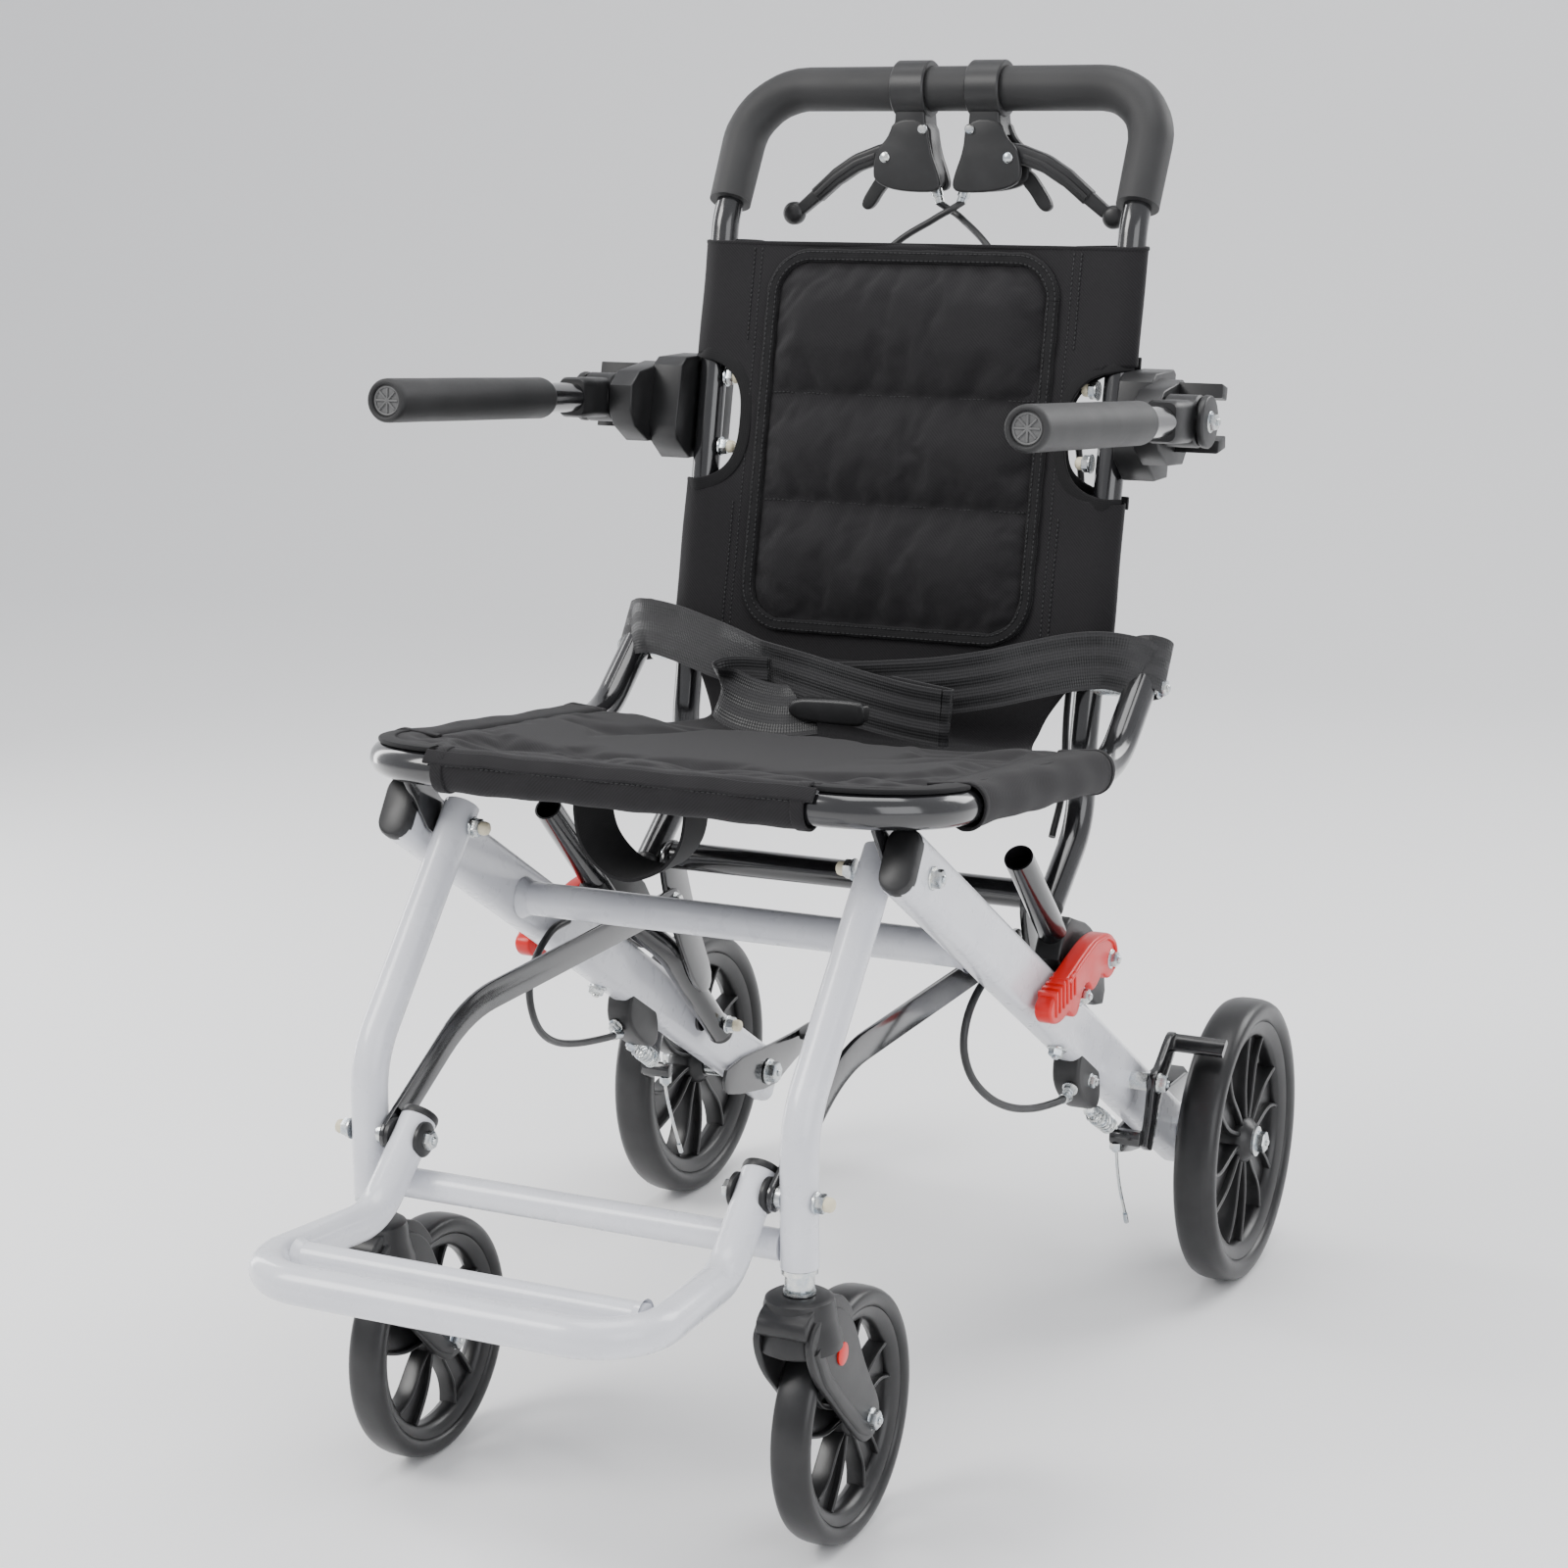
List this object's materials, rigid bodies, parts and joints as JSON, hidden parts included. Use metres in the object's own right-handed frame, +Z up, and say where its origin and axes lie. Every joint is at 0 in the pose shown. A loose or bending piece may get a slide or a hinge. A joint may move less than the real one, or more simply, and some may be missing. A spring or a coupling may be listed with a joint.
{
  "type": "folding transport wheelchair",
  "caption": "Folding transport wheelchair with cloth seat and back, lift-up armrests, lap belt, footrest, front casters and hand brakes.",
  "frame": {"origin": "on the floor under the middle of the whole chair", "axes": "+Z up, the chair faces -Y, +X towards the right as seen from the front"},
  "size_m": [0.482, 0.8299, 0.845],
  "materials": {
    "silver_paint": "light silver-grey gloss paint",
    "black_paint": "black gloss paint",
    "black_plastic": "black moulded plastic",
    "red_plastic": "red moulded plastic",
    "zinc": "bright zinc plate",
    "tyre": "solid black tyre",
    "foam": "matte black foam sleeve",
    "cable": "black cable sleeve",
    "fabric": "black woven polyester",
    "webbing": "black woven webbing"
  },
  "bodies": {
    "frame": {"rear_stay_right": "silver_paint", "rear_stay_left": "silver_paint", "stay_cap_right": "black_plastic", "stay_cap_left": "black_plastic", "tipping_pedal_right": "black_paint", "tipping_pedal_left": "black_paint", "axle_bolt_right": "zinc", "axle_bolt_left": "zinc", "cable_clamp_right": "black_plastic", "cable_clamp_left": "black_plastic", "brake_spring_right": "zinc", "brake_spring_left": "zinc", "brake_cable_lower_right": "cable", "brake_cable_lower_left": "cable", "upper_cross_tube": "silver_paint"},
    "front_legs": {"front_leg_right": "silver_paint", "front_leg_left": "silver_paint", "caster_stem_right": "zinc", "caster_stem_left": "zinc", "lower_cross_tube": "silver_paint"},
    "braces": {"brace_right": "black_paint", "brace_left": "black_paint"},
    "footrest": {"footrest_frame": "silver_paint"},
    "link": {"link_tube_right": "black_paint", "link_tube_left": "black_paint", "link_cross_tube": "black_paint"},
    "seat": {"seat_frame": "black_paint", "seat_sling": "fabric", "pull_strap": "webbing", "lap_belt": "webbing", "belt_buckle": "black_plastic"},
    "backrest": {"backrest_frame": "black_paint", "backrest_sling": "fabric", "handle_grip": "foam", "armrest_bracket_right": "black_plastic", "armrest_bracket_left": "black_plastic", "brake_lever_housing_right": "black_plastic", "brake_lever_housing_left": "black_plastic", "brake_cable_upper_right": "cable", "brake_cable_upper_left": "cable"},
    "caster_right": {"caster_fork_right": "black_plastic"},
    "caster_wheel_right": {"caster_rim_right": "black_plastic", "caster_tyre_right": "tyre"},
    "rear_wheel_right": {"rear_rim_right": "black_plastic", "rear_tyre_right": "tyre"},
    "latch_right": {"latch_right": "red_plastic"},
    "armrest_right": {"armrest_tube_right": "black_paint", "armrest_foam_right": "foam"},
    "brake_lever_right": {"brake_lever_blade_right": "black_plastic"},
    "brake_arm_right": {"brake_arm_right": "black_paint"},
    "caster_left": {"caster_fork_left": "black_plastic"},
    "caster_wheel_left": {"caster_rim_left": "black_plastic", "caster_tyre_left": "tyre"},
    "rear_wheel_left": {"rear_rim_left": "black_plastic", "rear_tyre_left": "tyre"},
    "latch_left": {"latch_left": "red_plastic"},
    "armrest_left": {"armrest_tube_left": "black_paint", "armrest_foam_left": "foam"},
    "brake_lever_left": {"brake_lever_blade_left": "black_plastic"},
    "brake_arm_left": {"brake_arm_left": "black_paint"}
  },
  "joints": [
    {"name": "fold", "type": "hinge", "parent": "frame", "child": "link", "pos_m": [0, 0.20984, 0.16771], "axis": [-1, 0, 0], "range_deg": [0, 63]},
    {"name": "knee_fold", "type": "hinge", "parent": "link", "child": "backrest", "pos_m": [0, 0.125, 0.312], "axis": [1, 0, 0], "range_deg": [0, 137.5]},
    {"name": "seat_fold", "type": "hinge", "parent": "backrest", "child": "seat", "pos_m": [0, 0.184, 0.444], "axis": [-1, 0, 0], "range_deg": [0, 82], "deforming": ["lap_belt", "belt_buckle"]},
    {"name": "legs_fold", "type": "hinge", "parent": "frame", "child": "front_legs", "pos_m": [0, -0.14125, 0.3871], "axis": [1, 0, 0], "range_deg": [0, 50.5]},
    {"name": "braces_fold", "type": "hinge", "parent": "front_legs", "child": "braces", "pos_m": [0, -0.245, 0.224], "axis": [-1, 0, 0], "range_deg": [0, 44]},
    {"name": "footrest_flip", "type": "hinge", "parent": "front_legs", "child": "footrest", "pos_m": [0, -0.245, 0.224], "axis": [-1, 0, 0], "range_deg": [0, 80]},
    {"name": "caster_swivel_right", "type": "hinge", "parent": "front_legs", "child": "caster_right", "pos_m": [0.14, -0.243, 0.17], "axis": [0, 0, 1], "continuous": true},
    {"name": "caster_spin_right", "type": "hinge", "parent": "caster_right", "child": "caster_wheel_right", "pos_m": [0.14, -0.186, 0.075], "axis": [-1, 0, 0], "continuous": true},
    {"name": "rear_spin_right", "type": "hinge", "parent": "frame", "child": "rear_wheel_right", "pos_m": [0.217, 0.315, 0.1], "axis": [-1, 0, 0], "continuous": true},
    {"name": "latch_lift_right", "type": "hinge", "parent": "link", "child": "latch_right", "pos_m": [0.185, 0.119, 0.277], "axis": [-1, 0, 0], "range_deg": [0, 40]},
    {"name": "armrest_lift_right", "type": "hinge", "parent": "backrest", "child": "armrest_right", "pos_m": [0.2102, 0.181, 0.618], "axis": [-1, 0, 0], "range_deg": [0, 98]},
    {"name": "brake_pull_right", "type": "hinge", "parent": "backrest", "child": "brake_lever_right", "pos_m": [0.0455, 0.298, 0.78], "axis": [0, -1, 0], "range_deg": [0, 22], "stiffness_Nm_per_rad": 1},
    {"name": "brake_press_right", "type": "hinge", "parent": "frame", "child": "brake_arm_right", "pos_m": [0.19, 0.20984, 0.16771], "axis": [-1, 0, 0], "range_deg": [0, 12]},
    {"name": "caster_swivel_left", "type": "hinge", "parent": "front_legs", "child": "caster_left", "pos_m": [-0.14, -0.243, 0.17], "axis": [0, 0, 1], "continuous": true},
    {"name": "caster_spin_left", "type": "hinge", "parent": "caster_left", "child": "caster_wheel_left", "pos_m": [-0.14, -0.186, 0.075], "axis": [-1, 0, 0], "continuous": true},
    {"name": "rear_spin_left", "type": "hinge", "parent": "frame", "child": "rear_wheel_left", "pos_m": [-0.217, 0.315, 0.1], "axis": [-1, 0, 0], "continuous": true},
    {"name": "latch_lift_left", "type": "hinge", "parent": "link", "child": "latch_left", "pos_m": [-0.185, 0.119, 0.277], "axis": [-1, 0, 0], "range_deg": [0, 40]},
    {"name": "armrest_lift_left", "type": "hinge", "parent": "backrest", "child": "armrest_left", "pos_m": [-0.2102, 0.181, 0.618], "axis": [-1, 0, 0], "range_deg": [0, 98]},
    {"name": "brake_pull_left", "type": "hinge", "parent": "backrest", "child": "brake_lever_left", "pos_m": [-0.0455, 0.298, 0.78], "axis": [0, 1, 0], "range_deg": [0, 22], "stiffness_Nm_per_rad": 1},
    {"name": "brake_press_left", "type": "hinge", "parent": "frame", "child": "brake_arm_left", "pos_m": [-0.19, 0.20984, 0.16771], "axis": [-1, 0, 0], "range_deg": [0, 12]}
  ],
  "couplings": [
    {"joint": "knee_fold", "follows": "fold", "ratio": 2.181},
    {"joint": "seat_fold", "follows": "fold", "ratio": 1.3},
    {"joint": "legs_fold", "follows": "fold", "ratio": 0.8},
    {"joint": "braces_fold", "follows": "fold", "ratio": 0.69048},
    {"joint": "brake_press_right", "follows": "brake_pull_right", "ratio": 0.545},
    {"joint": "brake_press_left", "follows": "brake_pull_left", "ratio": 0.545}
  ]
}
